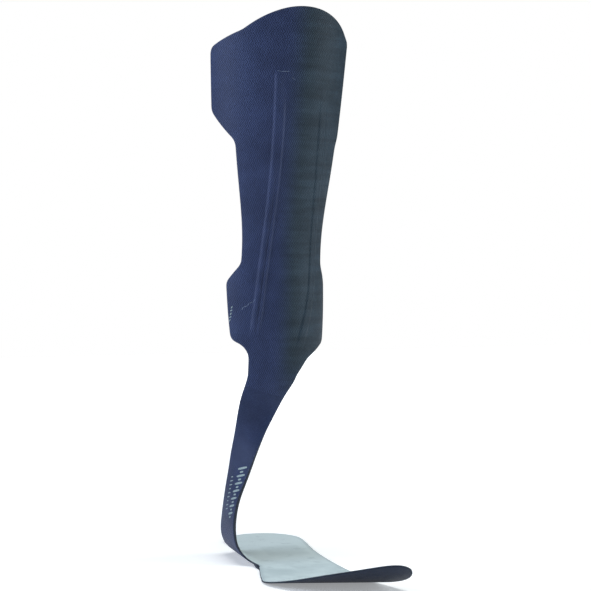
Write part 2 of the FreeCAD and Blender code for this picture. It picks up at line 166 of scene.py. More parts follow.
def strut_rows():
    """(run, row of points) from the plate up to the shell's lower end and two rows beyond it."""
    rows = []
    for extra in (12.0, 6.0):
        rows.append((PLATE_RUN - extra, plate_row(PLATE_RUN - extra, 62.0, 132.5)))
    rows.append((PLATE_RUN, root_row(90, 62.0, 132.5)))
    for degrees, rear, front in ROOT_ROWS:
        run = ROOT_RADIUS - ROOT_RADIUS * math.radians(degrees)
        rows.append((run, root_row(degrees, rear, front)))
    for height, rear, front, crown in STRUT_ROWS:
        rows.append((height, level_row(height, rear, front, crown)))
    first = math.asin(STRUT_TOP_REAR / FUNNEL_RADIUS)
    last = math.asin(STRUT_TOP_FRONT / FUNNEL_RADIUS)
    for run in (FUNNEL_FOOT, FUNNEL_FOOT + 12, FUNNEL_FOOT + 24):
        angles = first + SHARES * (last - first)
        rows.append((run, shell_point(angles, np.full(len(SHARES), float(run)))))
    return rows


ROWS = strut_rows()
ROW_RUNS = [run for run, row in ROWS]
POWERS = np.vander(SHARES, 5, increasing=True)
row_shapes = spline(ROW_RUNS, [np.linalg.solve(POWERS, np.array(row)).ravel() for run, row in ROWS])


def row_limits():
    """The flat sheet's (rear, front) limits at each row: as wide as the row, and moved sideways as
    much as the row's middle moves along it."""
    limits = []
    before = None
    for run, row in ROWS:
        row = np.array(row)
        if run <= ROOT_RADIUS + 1:
            rear, front = HEEL - row[0][1], HEEL - row[-1][1]
        elif run <= FUNNEL_FOOT + 1:
            along = (row[-1] - row[0]) / np.linalg.norm(row[-1] - row[0])
            shift = float((row[2] - before[0][2]) @ (along + before[3]) / 2)
            middle = (before[1] + before[2]) / 2 + shift
            width = float(np.linalg.norm(np.diff(row, axis=0), axis=1).sum())
            rear, front = middle - width / 2, middle + width / 2
        along = (row[-1] - row[0]) / np.linalg.norm(row[-1] - row[0])
        before = (row, rear, front, along)
        limits.append((rear, front))
    return limits


LIMITS = row_limits()
strut_limits = spline(ROW_RUNS, LIMITS)
TOP_REAR, TOP_FRONT = LIMITS[-1]
ANGLE_REAR = math.asin(STRUT_TOP_REAR / FUNNEL_RADIUS)
ANGLE_FRONT = math.asin(STRUT_TOP_FRONT / FUNNEL_RADIUS)
ANGLE_SCALE = (TOP_FRONT - TOP_REAR) / (ANGLE_FRONT - ANGLE_REAR)
FRONT_LINE = TOP_REAR - ANGLE_REAR * ANGLE_SCALE     # "across" of the shell's front


def smooth_step(low, high, value):
    """0 before low, 1 after high, with a smooth change between them."""
    share = np.clip((value - low) / (high - low), 0, 1)
    return share * share * (3 - 2 * share)


def across_break(side, ahead):
    """Distance in front of the toe break, square to it."""
    return ahead * math.cos(BREAK_TURN) - side * math.sin(BREAK_TURN) - TOE_BREAK


def plate_point(across, run):
    """The plate's underside, with the toe spring."""
    side = -ROOT_SIDE + (PLATE_RUN - run)
    ahead = across - HEEL
    past = np.clip(across_break(side, ahead), 0, SPRING_RADIUS * 0.9)
    lift = SPRING_RADIUS - np.sqrt(SPRING_RADIUS ** 2 - past ** 2)
    return np.stack([side, -ahead, lift], axis=1)


def strut_point(across, run):
    """The strut's outer surface."""
    shape = row_shapes(run).reshape(-1, 5, 3)
    limits = strut_limits(run)
    share = (across - limits[:, 0]) / (limits[:, 1] - limits[:, 0])
    return sum(shape[:, power] * (share ** power)[:, None] for power in range(5))


def sheet_point(across, run):
    """The outer surface of the whole orthosis, in millimetres in the row frame."""
    across = np.asarray(across, float)
    run = np.asarray(run, float)
    angle = (across - FRONT_LINE) / ANGLE_SCALE
    on_shell = shell_point(angle, np.maximum(run, FUNNEL_FOOT))
    on_strut = strut_point(across, np.clip(run, PLATE_RUN - 6, FUNNEL_FOOT + 6))
    on_plate = plate_point(across, np.minimum(run, PLATE_RUN + 20))
    beside = smooth_step(50, 62, across) * (1 - smooth_step(131.5, 136.5, across))
    turned = np.where(run > ROOT_RADIUS - 5, 1.0, beside * (run > PLATE_RUN))
    low = on_strut * turned[:, None] + on_plate * (1 - turned[:, None])
    return np.where((run >= FUNNEL_FOOT)[:, None], on_shell, low)


def inward(across, run):
    """The surface's unit normal towards the leg, or up on the plate."""
    reach = 0.4
    by_across = sheet_point(across + reach, run) - sheet_point(across - reach, run)
    by_run = sheet_point(across, run + reach) - sheet_point(across, run - reach)
    normal = -np.cross(by_across, by_run)
    return normal / np.linalg.norm(normal, axis=1)[:, None]


# --- Ribs -----------------------------------------------------------------------------------------

LATERAL_RIB = [(358, -17.0), (314, -16.8), (288, -17.5), (249, -20.5), (230, -22.6), (203, -25.8),
               (178, -28.4), (164, -30.2)]
MEDIAL_RIB = [(358, 23.0), (329, 23.6), (289, 25.4), (250, 28.0), (225, 28.2), (188, 24.2),
              (166, 16.6), (154, 12.8)]
RIB_HALF = 4.2
RIB_CREST = 2.5


def rib_line(stations):
    """A rib's middle on the flat sheet, a point every 1.4 mm from its top end down."""
    heights = np.array([height for height, angle in stations], float)
    across = np.array([FRONT_LINE + math.radians(angle) * ANGLE_SCALE for height, angle in stations])
    curve = spline(heights[::-1], across[::-1])
    runs = np.arange(heights[-1], heights[0], 1.4)[::-1]
    return np.stack([curve(runs)[:, 0], runs], axis=1)


# Each rib's line, height, top end, the length over which that end fades, how much of its inner
# flank stops short of the top, and the depth of the groove that runs down its lower half
RIBS = [
    (rib_line(LATERAL_RIB), 1.5, 358.0, 7.0, 1.0, 0.5),
    (rib_line(MEDIAL_RIB), 0.6, 350.0, 40.0, 0.0, 0.0),
]
FLANK_LOW = 316.0     # where that flank starts to fade, and where it has gone
FLANK_HIGH = 346.0
RIB_LINES = [rib[0] for rib in RIBS]
RIB_CROWN = 0.12      # rise of a rib's middle over its shoulders, as a share of its height
GROOVE_SIDE = 0.9     # the groove's offset from the rib's middle
GROOVE_WIDTH = 0.75
GROOVE_FULL = 240     # the groove is whole below this run, and gone above the next
GROOVE_END = 320


def rib_rise(points):
    """How far the skin rises over the ribs at points of the flat sheet."""
    rise = np.zeros(len(points))
    run = points[:, 1]
    for line, height, top, fading, short, groove in RIBS:
        gap = points[:, None, :] - line[None, :, :]
        distance = np.sqrt((gap ** 2).sum(axis=2)).min(axis=1)
        side = points[:, 0] - np.interp(run, line[::-1, 1], line[::-1, 0])
        body = 1 - smooth_step(RIB_CREST, RIB_HALF, distance)
        crown = RIB_CROWN * (1 - np.clip(distance / RIB_CREST, 0, 1) ** 2)
        dip = groove * np.exp(-((side - GROOVE_SIDE) / GROOVE_WIDTH) ** 2)
        dip = dip * (1 - smooth_step(GROOVE_FULL, GROOVE_END, run))
        foot = line[-1, 1]
        fade = smooth_step(foot - 3, foot + 14, run) * (1 - smooth_step(top - fading, top, run))
        flank = short * smooth_step(-3.2, RIB_HALF, side) * smooth_step(FLANK_LOW, FLANK_HIGH, run)
        rise = np.maximum(rise, (1 + crown - dip) * body * fade * (1 - flank) * height)
    return rise


# --- Outlines on the flat sheet ---------------------------------------------------------------------

def rounded_path(corners, step=0.8):
    """Points along an open path of (x, y, corner radius), with its corners rounded."""
    points = [np.array(corners[0][:2], float)]
    for before, corner, after in zip(corners, corners[1:], corners[2:]):
        middle = np.array(corner[:2], float)
        into = np.array(before[:2], float) - middle
        out = np.array(after[:2], float) - middle
        into /= np.linalg.norm(into)
        out /= np.linalg.norm(out)
        half = math.acos(np.clip(into @ out, -1, 1)) / 2
        reach = corner[2] / math.tan(half)
        start, end = middle + into * reach, middle + out * reach
        centre = middle + (into + out) / np.linalg.norm(into + out) * corner[2] / math.sin(half)
        first = math.atan2(*(start - centre)[::-1])
        sweep = (math.atan2(*(end - centre)[::-1]) - first + math.pi) % (2 * math.pi) - math.pi
        count = max(3, int(abs(sweep) * corner[2] / step))
        for share in np.linspace(0, 1, count + 1):
            angle = first + sweep * share
            points.append(centre + corner[2] * np.array([math.cos(angle), math.sin(angle)]))
    points.append(np.array(corners[-1][:2], float))
    return evenly(np.array(points), step)


def evenly(points, step):
    """An open polyline's points at even distances."""
    lengths = np.concatenate([[0], np.cumsum(np.linalg.norm(np.diff(points, axis=0), axis=1))])
    count = max(2, int(round(lengths[-1] / step)) + 1)
    places = np.linspace(0, lengths[-1], count)
    return np.stack([np.interp(places, lengths, points[:, i]) for i in range(2)], axis=1)


def from_side(points, sign):
    """Flat-sheet points from (distance to the shell's front, height) on one side of the shell."""
    distance, height = points.T
    angle = np.arccos(np.clip(distance / shell_radius(height), -1, 1))
    return np.stack([FRONT_LINE + sign * angle * ANGLE_SCALE, height], axis=1)


def from_front(points):
    """Flat-sheet points from (offset across the shell, height)."""
    offset, height = points.T
    angle = np.arcsin(offset / shell_radius(height))
    return np.stack([FRONT_LINE + angle * ANGLE_SCALE, height], axis=1)


ARCH_DROP = 17.6      # how far the arch's bend lies below the shell's top
ARCH_BEND = 38.5
ARCH_SLOPE = 0.96


def arch(sign):
    """The top edge from the shell's front to part of the way round."""
    angle = np.linspace(0, math.radians(35), 24)
    height = np.full(len(angle), SHELL_TOP)
    for _ in range(20):
        reach = shell_radius(height) * np.cos(angle)
        height = SHELL_TOP - ARCH_DROP + ARCH_SLOPE * (reach - ARCH_BEND)
    points = np.stack([FRONT_LINE + sign * angle * ANGLE_SCALE, height], axis=1)
    last = float(shell_radius(height[-1:])[0] * math.cos(angle[-1]))
    return points, (last, height[-1], 0)


def side_edge(sign, wing_corner):
    """The shell's edge on one side, from its front down to the lower wing's corner."""
    points, start = arch(sign)
    corners = [
        start,
        (ARCH_BEND, SHELL_TOP - ARCH_DROP, 12),
        (11.8, SHELL_TOP - 30.9, 7),
        (11.3, WAIST + 92.5, 7),
        (31.0, WAIST + 71.5, 10),
        (31.3, WAIST - 17.8, 10),
        (22.4, WAIST - 31.5, 6),
        (29.0, wing_corner, 0),
    ]
    return np.concatenate([points[:-1], from_side(rounded_path(corners), sign)])


def softened(first, second, reach):
    """Two polylines that meet at a corner, joined by a curve that starts and ends reach from it."""
    corner = (first[-1] + second[0]) / 2
    first = first[np.linalg.norm(first - corner, axis=1) > reach]
    second = second[np.linalg.norm(second - corner, axis=1) > reach]
    shares = np.linspace(0, 1, 9)[1:-1, None]
    curve = first[-1] * (1 - shares) ** 2 + corner * 2 * shares * (1 - shares) + second[0] * shares ** 2
    return np.concatenate([first, curve, second])


def strut_edge(which, low, high):
    """The strut's rear (0) or front (1) edge on the flat sheet, from run low up to run high."""
    runs = np.arange(low, high, 0.8)
    return np.stack([strut_limits(runs)[:, which], runs], axis=1)


def loop_through(points, step):
    """A smooth open curve through points, as an even polyline."""
    points = np.array(points, float)
    lengths = np.concatenate([[0], np.cumsum(np.sqrt(np.linalg.norm(np.diff(points, axis=0), axis=1)))])
    curve = spline(lengths, points)
    return evenly(curve(np.linspace(0, lengths[-1], 40 * len(points))), step)


def on_break(side, offset=0.0):
    """The flat-sheet "across" of the toe break line at a side offset."""
    return (TOE_BREAK + offset + side * math.sin(BREAK_TURN)) / math.cos(BREAK_TURN) + HEEL


def from_plan(points):
    """Flat-sheet points from plan points (side, distance from the heel's back end)."""
    side, ahead = np.array(points, float).T
    return np.stack([ahead, PLATE_RUN - ROOT_SIDE - side], axis=1)


END_POINTS = 60     # how many points at either end are searched for the seam


def plate_edge(end_run):
    """The plate's free edge, from the strut's rear edge round heel and toes to its front edge. It
    starts and ends on the strut's edges at run end_run."""
    rear_root = strut_edge(0, SEAM_RUN + 1.5, 16.0)[::-1]
    front_root = strut_edge(1, SEAM_RUN + 1.5, 16.0)
    heel_side = [(-27.2, 60), (-27.2, 54), (-28.9, 44), (-30, 33)]
    heel = []
    for degrees in range(180, 361, 15):
        turn = math.radians(degrees)
        heel.append((HEEL * math.cos(turn), HEEL + HEEL * math.sin(turn)))
    inner = [(28, 58), (26, 84), (25.8, 120), (27.5, 158), (30, 179), (33, on_break(33))]
    toes = [(36.4, 210), (41.5, 226), (45.8, 240), (46.6, 252), (43.4, 263), (37.6, 267.3),
            (31.4, 267.5), (23.2, 264.5), (7.2, 254.8), (-11, 241.8), (-23, 229.5), (-31, 218.5),
            (-37.5, 207.5), (-40.6, 197), (-40.6, 187)]
    outer = [(-39.3, on_break(-39.3)), (-37, 168), (-34.2, 155), (-32, 145), (-30.4, 138),
             (-29.6, 134.5)]
    middle = from_plan(heel_side + heel + inner + toes + outer)
    path = np.concatenate([rear_root[::6], middle, front_root[::6]])
    path = loop_through(path, 1.0)
    start = np.argmin(np.abs(path[:END_POINTS, 1] - end_run))
    end = len(path) - END_POINTS + np.argmin(np.abs(path[-END_POINTS:, 1] - end_run))
    path = path[start:end + 1]
    path[0, 1] = path[-1, 1] = end_run
    return path


def seam_ends():
    """Where the plate's free edge starts and ends: on the seam with the strut."""
    edge = plate_edge(SEAM_RUN)
    return edge[0], edge[-1]


MEDIAL_CORNER = 159.0     # height of the medial lower wing's corner


def strut_and_shell_edge():
    """The free edge of strut and shell, from the seam's front end up, over the top and down again."""
    rear_end, front_end = seam_ends()
    medial_front = from_front(rounded_path([
        (STRUT_TOP_FRONT, FUNNEL_FOOT, 0), (STRUT_TOP_FRONT + 9.6, FUNNEL_FOOT + 12.5, 15),
        (37.2, MEDIAL_CORNER, 0)]))
    medial_side = side_edge(1, MEDIAL_CORNER)[::-1]
    lateral_side = side_edge(-1, WING_FOOT)
    corner = float(lateral_side[-1, 0])
    low = from_front(rounded_path([(STRUT_TOP_REAR - 13.5, WING_FOOT, 0), (STRUT_TOP_REAR, WING_FOOT, 13),
                                   (STRUT_TOP_REAR, FUNNEL_FOOT, 0)]))
    low = low[low[:, 0] > corner]
    top = softened(medial_front, medial_side, 2.5)
    bottom = softened(lateral_side, low, 4.0)
    up = strut_edge(1, SEAM_RUN, FUNNEL_FOOT)
    down = strut_edge(0, SEAM_RUN, FUNNEL_FOOT)[::-1]
    path = np.concatenate([up, top, bottom[1:], down])
    path = evenly(path, 1.0)
    path[0] = front_end
    path[-1] = rear_end
    return path


def eased(path, rounds):
    """An open polyline with its small corners eased; its ends stay."""
    path = path.copy()
    for _ in range(rounds):
        path[1:-1] = path[1:-1] / 2 + (path[:-2] + path[2:]) / 4
    return path


# --- Plies: closed solids between two depths of the sheet ---------------------------------------------

def inside(points, loop):
    """Which points lie inside a closed loop."""
    x, y = points.T
    hit = np.zeros(len(points), bool)
    for (x0, y0), (x1, y1) in zip(loop, np.roll(loop, -1, axis=0)):
        if y0 == y1:
            continue
        crosses = (y0 > y) != (y1 > y)
        hit ^= crosses & (x < (x1 - x0) * (y - y0) / (y1 - y0) + x0)
    return hit


def nearest(points, others):
    """Each point's distance to the nearest of the others."""
    result = np.empty(len(points))
    for start in range(0, len(points), 2000):
        part = points[start:start + 2000]
        gap = part[:, None, :] - others[None, :, :]
        result[start:start + 2000] = np.sqrt((gap ** 2).sum(axis=2)).min(axis=1)
    return result


RIB_OFFSETS = (-RIB_HALF - 0.5, -RIB_HALF, -3.6, -3.0, -RIB_CREST, -1.2, 0.0, 0.45,
               GROOVE_SIDE, 1.4, 1.9, RIB_CREST, 3.0, 3.6, RIB_HALF, RIB_HALF + 0.5)


def filling(loop, spacing, ribs):
    """Points that fill a loop: a triangular pattern, with closer lines along the ribs."""
    low, high = loop.min(axis=0), loop.max(axis=0)
    rows = []
    pitch = spacing * math.sqrt(3) / 2
    for index, run in enumerate(np.arange(low[1], high[1], pitch)):
        across = np.arange(low[0] + (index % 2) * spacing / 2, high[0], spacing)
        rows.append(np.stack([across, np.full(len(across), run)], axis=1))
    points = np.concatenate(rows)
    points = points[inside(points, loop)]
    points = points[nearest(points, loop) > spacing * 0.55]
    if ribs:
        for line in RIB_LINES:
            points = points[nearest(points, line) > RIB_HALF + 1.0]
        for line in RIB_LINES:
            tangent = np.gradient(line, axis=0)
            tangent /= np.linalg.norm(tangent, axis=1)[:, None]
            normal = np.stack([-tangent[:, 1], tangent[:, 0]], axis=1)
            lines = [line + normal * offset for offset in RIB_OFFSETS]
            for reach in (0.8, 1.6, RIB_CREST, 2.8, 3.4, RIB_HALF, RIB_HALF + 0.5):
                for degrees in range(-75, 76, 15):
                    turn = math.radians(degrees)
                    way = -tangent[0] * math.cos(turn) + normal[0] * math.sin(turn)
                    lines.append((line[0] + way * reach)[None, :])
            points = np.concatenate([points] + lines)
    return points


def loop_inward(loop, fixed):
    """Each loop point's direction into the loop; fixed points get the zero vector."""
    tangent = np.roll(loop, -1, axis=0) - np.roll(loop, 1, axis=0)
    tangent /= np.linalg.norm(tangent, axis=1)[:, None]
    normal = np.stack([-tangent[:, 1], tangent[:, 0]], axis=1)
    area = (loop[:, 0] * np.roll(loop[:, 1], -1) - np.roll(loop[:, 0], -1) * loop[:, 1]).sum()
    if area < 0:
        normal = -normal
    normal[fixed] = 0
    return normal


def add_weave(mesh, flat):
    """Stores the flat sheet's coordinates, divided by 100, as the mesh's UV map."""
    weave = mesh.uv_layers.new(name="Weave")
    corner_vertices = np.empty(len(mesh.loops), int)
    mesh.loops.foreach_get("vertex_index", corner_vertices)
    weave.data.foreach_set("uv", (flat[corner_vertices] / 100).astype(np.float32).ravel())


def ply(name, free_edge, seam, rings, spacing, back_spacing, ribs=False, outer=None):
    """A closed ply. free_edge is its rounded edge and seam the plain cut that closes the loop, if
    any. rings lists (inset, depth) from the outer face round the edge to the inner face; outer
    gives extra depth at points of the flat sheet, as a function."""
    loop = np.concatenate([free_edge, seam]) if len(seam) else free_edge
    fixed = np.zeros(len(loop), bool)
    fixed[len(free_edge):] = True
    direction = loop_inward(loop, fixed)
    if len(seam):
        toward = seam[-1] - seam[0]
        toward = toward / np.linalg.norm(toward)
        direction[len(free_edge) - 1] = toward
        direction[0] = -toward
    flat, depths = [], []
    for inset, depth in rings:
        flat.append(loop + direction * inset)
        depths.append(np.full(len(loop), float(depth)))
    count = len(loop)
    faces = []
    for ring in range(len(rings) - 1):
        for i in range(count):
            j = (i + 1) % count
            this, after = ring * count, (ring + 1) * count
            faces.append((this + i, this + j, after + j, after + i))
    base = len(rings) * count
    caps = []
    ends = ((0, spacing, ribs, False), (len(rings) - 1, back_spacing, False, True))
    for ring, gap, with_ribs, flip in ends:
        edge = flat[ring]
        fill = filling(edge, gap, with_ribs)
        corners = [Vector(point) for point in np.concatenate([edge, fill])]
        made = delaunay_2d_cdt(corners, [], [list(range(count))], 1, 1e-6)
        origin = [ids[0] for ids in made[3]]
        for face in made[2]:
            face = [origin[i] for i in face]
            face = [ring * count + i if i < count else base + i - count for i in face]
            caps.append(face[::-1] if flip else face)
        flat.append(fill)
        depths.append(np.full(len(fill), float(rings[ring][1])))
        base += len(fill)
    flat = np.concatenate(flat)
    depths = np.concatenate(depths)
    if outer:
        depths = depths + outer(flat, depths)
    area = (loop[:, 0] * np.roll(loop[:, 1], -1) - np.roll(loop[:, 0], -1) * loop[:, 1]).sum()
    if area > 0:
        faces = [face[::-1] for face in faces]
    points = sheet_point(*flat.T) + inward(*flat.T) * depths[:, None]
    mesh = bpy.data.meshes.new(name)
    mesh.from_pydata((points * MM).tolist(), [], faces + caps)
    mesh.validate()
    add_weave(mesh, flat)
    for label, values in (("depth", depths), ("edge", nearest(flat, free_edge))):
        mesh.attributes.new(label, "FLOAT", "POINT").data.foreach_set("value", values.astype(np.float32))
    mesh.polygons.foreach_set("use_smooth", [True] * len(mesh.polygons))
    piece = bpy.data.objects.new(name, mesh)
    bpy.context.scene.collection.objects.link(piece)
    return piece


EASE = 3
plate_path = plate_edge(SEAM_RUN)
shell_path = eased(strut_and_shell_edge(), EASE)
seam_up = evenly(np.array([plate_path[-1], plate_path[0]]), 1.0)[1:-1]
seam_down = seam_up[::-1]


def wall_at(run):
    """The strut's and shell's wall: full above the turn, thinner towards the plate."""
    thin = SKIN + PLATE_CORE
    return thin + (WALL - thin) * smooth_step(PLATE_RUN, 34.0, run)


def skin_depth(flat, depths):
    """Ribs lift the outer skin's outer face; their cores fill the space under it."""
    return -rib_rise(flat) * (depths < SKIN / 2)


def core_depth(flat, depths):
    """The laminate thins towards the plate."""
    missing = WALL - wall_at(flat[:, 1])
    share = np.clip((depths - SKIN) / (WALL - 2 * SKIN), 0, 1)
    return -missing * share


def lining_depth(flat, depths):
    """The inner skin follows the thinning laminate."""
    return wall_at(flat[:, 1]) - WALL


outer_rings = [(0.5, 0.0), (0.26, 0.03), (0.1, 0.1), (0.02, 0.2), (0.0, SKIN)]
core_rings = [(0.3, SKIN), (0.04, SKIN), (0.04, WALL - SKIN), (0.3, WALL - SKIN)]
inner_rings = [(0.0, WALL - SKIN), (0.02, WALL - 0.2), (0.1, WALL - 0.1), (0.26, WALL - 0.03), (0.5, WALL)]

outer_skin = ply("outer_skin", shell_path, seam_down, outer_rings, 1.7, 4.0, True, skin_depth)
core = ply("strut_and_shell_laminate", shell_path, seam_down, core_rings, 4.0, 4.0, False, core_depth)
lining = ply("inner_skin", shell_path, seam_down, inner_rings, 4.0, 1.9, False, lining_depth)

PLATE_TOP = SKIN + PLATE_CORE
sole_rings = [(0.5, 0.0), (0.26, 0.03), (0.1, 0.1), (0.02, 0.2), (0.0, SKIN)]
plate_rings = [(0.3, SKIN), (0.04, SKIN), (0.04, PLATE_TOP), (0.3, PLATE_TOP)]
COVER_TOP = PLATE_TOP + COVER
cover_rings = [(0.4, PLATE_TOP), (0.3, PLATE_TOP + 0.15), (0.4, COVER_TOP - 0.08), (0.7, COVER_TOP)]
sole = ply("sole_skin", plate_path, seam_up, sole_rings, 1.9, 4.0)
plate = ply("plate_laminate", plate_path, seam_up, plate_rings, 4.0, 4.0)
cover_path = plate_edge(PLATE_RUN + 15.0)
cover_end = evenly(np.array([cover_path[-1], cover_path[0]]), 1.0)[1:-1]
cover_loop = np.concatenate([cover_path, cover_end])
cover = ply("top_cover", cover_loop, [], cover_rings, 4.0, 1.9)

# --- Marks and yarns on the outer skin ---------------------------------------------------------------

BAR_STEPS = 4
BAR_SUNK = 0.10       # how deep a bar's foot is in the skin
BAR_RAISED = 0.06     # how far it stands out


def bars(name, places):
    """Thin closed bars on the outer skin, each (across, run, length, width, turn in degrees)."""
    rows, faces = [], []
    for across, run, length, width, turn in places:
        way = np.array([math.cos(math.radians(turn)), math.sin(math.radians(turn))])
        square = np.array([-way[1], way[0]])
        base = len(rows)
        for step in range(BAR_STEPS + 1):
            share = step / BAR_STEPS - 0.5
            middle = np.array([across, run]) + way * length * share
            half = width / 2 * (0.6 if step in (0, BAR_STEPS) else 1.0)
            for side, depth in ((-1, BAR_SUNK), (-1, -BAR_RAISED), (1, -BAR_RAISED), (1, BAR_SUNK)):
                rows.append((*(middle + square * half * side), depth))
        for step in range(BAR_STEPS):
            low = base + 4 * step
            for corner in range(4):
                beside = (corner + 1) % 4
                faces.append((low + corner, low + beside, low + 4 + beside, low + 4 + corner))
        last = base + 4 * BAR_STEPS
        faces.append((base + 3, base + 2, base + 1, base))
        faces.append((last, last + 1, last + 2, last + 3))
    rows = np.array(rows)
    flat = rows[:, :2]
    depths = rows[:, 2] - rib_rise(flat)
    points = sheet_point(*flat.T) + inward(*flat.T) * depths[:, None]
    mesh = bpy.data.meshes.new(name)
    mesh.from_pydata((points * MM).tolist(), [], faces)
    mesh.validate()
    shape = bmesh.new()
    shape.from_mesh(mesh)
    bmesh.ops.recalc_face_normals(shape, faces=shape.faces)
    shape.to_mesh(mesh)
    shape.free()
    add_weave(mesh, flat)
    piece = bpy.data.objects.new(name, mesh)
    bpy.context.scene.collection.objects.link(piece)
    return piece


def strut_marks():
    """A generic pattern in place of print: a row of slanted bars with finer dashes behind it."""
    places = []
    for index in range(7):
        run = 67.5 - 5.4 * index
        places.append((103.5, run, 9.0, 1.5, 14))
        places.append((103.5, run - 2.7, 3.4, 1.2, 14))
    for index in range(9):
        places.append((92.5, 60.0 - 2.9 * index, 4.6 if index % 3 else 2.6, 0.75, 14))
    return places


def wing_marks():
    """A few short dashes by the lower wing's edge."""
    return [(89.5 - 0.25 * index, 183.5 - 2.4 * index, 1.9, 0.7, 60 - 25 * (index % 2)) for index in range(5)]


def yarn_places():
    """Stray yarns pressed into the skin: one across the top of the lateral rib, and one by its foot."""
    places = [(117.4, 355.6, 2.6, 0.3, -7), (121.4, 355.4, 5.6, 0.4, 4), (127.0, 350.6, 2.4, 0.25, -34)]
    for index in range(5):
        places.append((98.2 + 2.1 * index, 183.2 + 1.5 * index, 2.2, 0.5, 62 - 40 * (index % 2)))
    return places


print_marks = bars("generic_marks", strut_marks() + wing_marks())
yarns = bars("stray_yarns", yarn_places())

# --- Materials --------------------------------------------------------------------------------------------

class Nodes:
    """A new material's node tree, with short calls for the nodes used here."""

    def __init__(self, name):
        self.material = bpy.data.materials.new(name)
        self.material.use_nodes = True
        self.tree = self.material.node_tree
        self.shader = self.tree.nodes["Principled BSDF"]

    def put(self, kind, inputs=(), **settings):
        """A node with its settings, and its inputs linked or set in order; None leaves one alone."""
        node = self.tree.nodes.new(kind)
        for name, value in settings.items():
            setattr(node, name, value)
        for socket, value in zip(node.inputs, inputs):
            self.give(socket, value)
        return node

    def give(self, socket, value):
        """Links or sets one input."""
        if isinstance(value, bpy.types.NodeSocket):
            self.tree.links.new(value, socket)
        elif value is not None:
            socket.default_value = value

    def math(self, operation, *inputs):
        """A Math node's result."""
        return self.put("ShaderNodeMath", inputs, operation=operation).outputs[0]

    def between(self, value, low, high, start=0.0, end=1.0):
        """value mapped smoothly from low..high to start..end."""
        inputs = (value, low, high, start, end)
        return self.put("ShaderNodeMapRange", inputs, interpolation_type="SMOOTHSTEP").outputs[0]

    def noise(self, where, scale, detail=3.0, roughness=0.55):
        """Noise at a vector."""
        node = self.put("ShaderNodeTexNoise")
        self.give(node.inputs["Vector"], where)
        node.inputs["Scale"].default_value = scale
        node.inputs["Detail"].default_value = detail
        node.inputs["Roughness"].default_value = roughness
        return node.outputs["Fac"]

    def mix(self, share, first, second, blend_type="MIX"):
        """Two colours mixed."""
        node = self.put("ShaderNodeMix", data_type="RGBA", blend_type=blend_type)
        self.give(node.inputs[0], share)
        for socket, value in ((node.inputs[6], first), (node.inputs[7], second)):
            self.give(socket, (*value, 1) if isinstance(value, tuple) else value)
        return node.outputs[2]

    def sheet(self):
        """The flat sheet's coordinates: the vector, across and run, in millimetres."""
        raw = self.put("ShaderNodeUVMap", uv_map="Weave").outputs[0]
        vector = self.put("ShaderNodeVectorMath", (raw, (100, 100, 0)), operation="MULTIPLY").outputs[0]
        parts = self.put("ShaderNodeSeparateXYZ", (vector,))
        return vector, parts.outputs[0], parts.outputs[1]

    def attribute(self, name):
        """A mesh attribute's number."""
        return self.put("ShaderNodeAttribute", attribute_name=name).outputs["Fac"]

    def bump(self, height, distance, strength=1.0):
        """Bump from a height in 0..1, distance metres high."""
        node = self.put("ShaderNodeBump")
        node.inputs["Strength"].default_value = strength
        node.inputs["Distance"].default_value = distance
        self.give(node.inputs["Height"], height)
        self.give(self.shader.inputs["Normal"], node.outputs[0])

    def finish(self, colour, roughness):
        """Gives the shader its colour and roughness."""
        self.give(self.shader.inputs["Base Color"], colour)
        self.give(self.shader.inputs["Roughness"], roughness)


def set_sockets(material, values):
    """Constant values on a material's shader."""
    for name, value in values.items():
        material.node_tree.nodes["Principled BSDF"].inputs[name].default_value = value


TAU = 2 * math.pi
PLY_STEP = 127.0       # run where the shell's woven ply ends and the strut's finer one starts
DASH_PITCH = 1.5       # millimetres between the weave's slanted dashes
BAND_HEIGHT = 1.9      # millimetres between the lines where the dashes change direction
FINE_PITCH = 0.8


def herringbone(n, across, run, wobble):
    """0..1 over slanted dashes whose direction changes from band to band."""
    band = n.math("PINGPONG", n.math("DIVIDE", run, BAND_HEIGHT), 1.0)
    phase = n.math("ADD", n.math("DIVIDE", across, DASH_PITCH), n.math("MULTIPLY", band, 1.05))
    phase = n.math("ADD", phase, n.math("MULTIPLY", wobble, 0.9))
    wave = n.math("SINE", n.math("MULTIPLY", phase, TAU))
    return n.math("MULTIPLY_ADD", wave, 0.5, 0.5)


def twill(n, across, run, pitch):
    """0..1 over plain diagonal lines."""
    phase = n.math("DIVIDE", n.math("ADD", across, run), pitch)
    return n.math("MULTIPLY_ADD", n.math("SINE", n.math("MULTIPLY", phase, TAU)), 0.5, 0.5)


